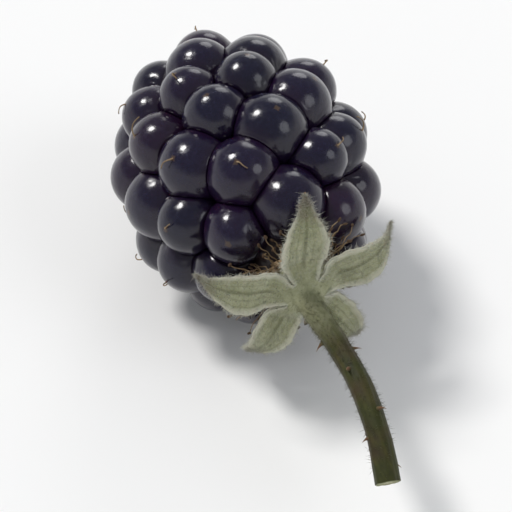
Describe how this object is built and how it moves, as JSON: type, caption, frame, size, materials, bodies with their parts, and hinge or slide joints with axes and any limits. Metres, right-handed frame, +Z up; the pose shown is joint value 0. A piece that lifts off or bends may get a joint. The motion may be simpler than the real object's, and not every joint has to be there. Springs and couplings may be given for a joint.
{
  "type": "bramble fruit",
  "caption": "Ripe bramble fruit lying on its side: glossy drupelets grown together in a blunt ovoid, with a pale starry calyx and a short curved stalk.",
  "frame": {"origin": "middle of the bounding box, on the surface that the fruit lies on", "axes": "+Z up from the surface; +Y along the fruit's axis towards its tip, with the calyx and stalk at -Y; +X across"},
  "size_m": [0.0166, 0.0354, 0.0163],
  "materials": {
    "fruit_skin": "gloss",
    "stalk_green": "matte",
    "sepal_felt": "matte",
    "dry_stamen": "matte"
  },
  "bodies": {
    "root": {"berry": "fruit_skin", "pedicel": "stalk_green", "sepal_1": "sepal_felt", "sepal_2": "sepal_felt", "sepal_3": "sepal_felt", "sepal_4": "sepal_felt", "sepal_5": "sepal_felt", "stamens": "dry_stamen"}
  },
  "joints": []
}
